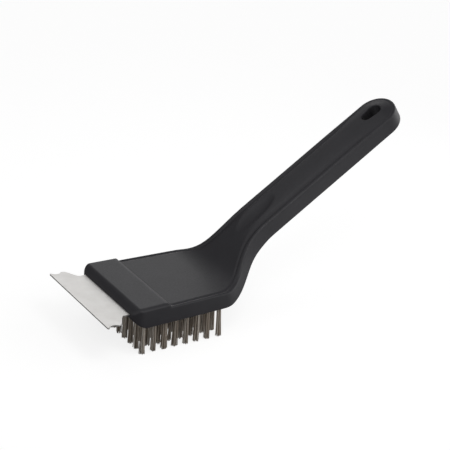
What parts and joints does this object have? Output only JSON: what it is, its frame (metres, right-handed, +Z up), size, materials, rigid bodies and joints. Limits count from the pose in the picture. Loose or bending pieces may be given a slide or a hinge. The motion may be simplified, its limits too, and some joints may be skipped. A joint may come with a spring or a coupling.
{
  "type": "grill cleaning brush",
  "caption": "Grill brush: moulded handle bent up from a wide flat head, with a block of wire tufts underneath and a flat steel scraper held in the front edge.",
  "frame": {"origin": "centre of the flat part of the head's top face, on the middle plane", "axes": "+X towards the scraper, +Y to the left when looking along +X, +Z up out of the head's top; the tufts point along -Z and the handle climbs away towards -X and +Z"},
  "size_m": [0.2055, 0.0698, 0.1141],
  "materials": {
    "handle_plastic": "black moulded plastic with a fine satin texture",
    "scraper_steel": "matte brushed stainless steel",
    "bristle_wire": "fine crimped steel wires, slightly brown"
  },
  "bodies": {
    "root": {"handle_body": "handle_plastic", "scraper_blade": "scraper_steel", "tuft_c1_r1": "bristle_wire", "tuft_c1_r2": "bristle_wire", "tuft_c1_r5": "bristle_wire", "tuft_c1_r8": "bristle_wire", "tuft_c1_r9": "bristle_wire", "tuft_c1_r3_r4": "bristle_wire", "tuft_c1_r6_r7": "bristle_wire", "tuft_c2_r1": "bristle_wire", "tuft_c2_r2": "bristle_wire", "tuft_c2_r5": "bristle_wire", "tuft_c2_r8": "bristle_wire", "tuft_c2_r9": "bristle_wire", "tuft_c2_r3_r4": "bristle_wire", "tuft_c2_r6_r7": "bristle_wire", "tuft_c3_r1": "bristle_wire", "tuft_c3_r2": "bristle_wire", "tuft_c3_r5": "bristle_wire", "tuft_c3_r8": "bristle_wire", "tuft_c3_r9": "bristle_wire", "tuft_c3_r3_r4": "bristle_wire", "tuft_c3_r6_r7": "bristle_wire", "tuft_c4_r1": "bristle_wire", "tuft_c4_r2": "bristle_wire", "tuft_c4_r5": "bristle_wire", "tuft_c4_r8": "bristle_wire", "tuft_c4_r9": "bristle_wire", "tuft_c4_r3_r4": "bristle_wire", "tuft_c4_r6_r7": "bristle_wire", "tuft_c5_r1": "bristle_wire", "tuft_c5_r2": "bristle_wire", "tuft_c5_r5": "bristle_wire", "tuft_c5_r8": "bristle_wire", "tuft_c5_r9": "bristle_wire", "tuft_c5_r3_r4": "bristle_wire", "tuft_c5_r6_r7": "bristle_wire", "tuft_c6_r1": "bristle_wire", "tuft_c6_r2": "bristle_wire", "tuft_c6_r5": "bristle_wire", "tuft_c6_r8": "bristle_wire", "tuft_c6_r9": "bristle_wire", "tuft_c6_r3_r4": "bristle_wire", "tuft_c6_r6_r7": "bristle_wire", "tuft_c7_r1": "bristle_wire", "tuft_c7_r2": "bristle_wire", "tuft_c7_r5": "bristle_wire", "tuft_c7_r8": "bristle_wire", "tuft_c7_r9": "bristle_wire", "tuft_c7_r3_r4": "bristle_wire", "tuft_c7_r6_r7": "bristle_wire", "tuft_c8_r1": "bristle_wire", "tuft_c8_r2": "bristle_wire", "tuft_c8_r5": "bristle_wire", "tuft_c8_r8": "bristle_wire", "tuft_c8_r9": "bristle_wire", "tuft_c8_r3_r4": "bristle_wire", "tuft_c8_r6_r7": "bristle_wire"}
  },
  "joints": []
}
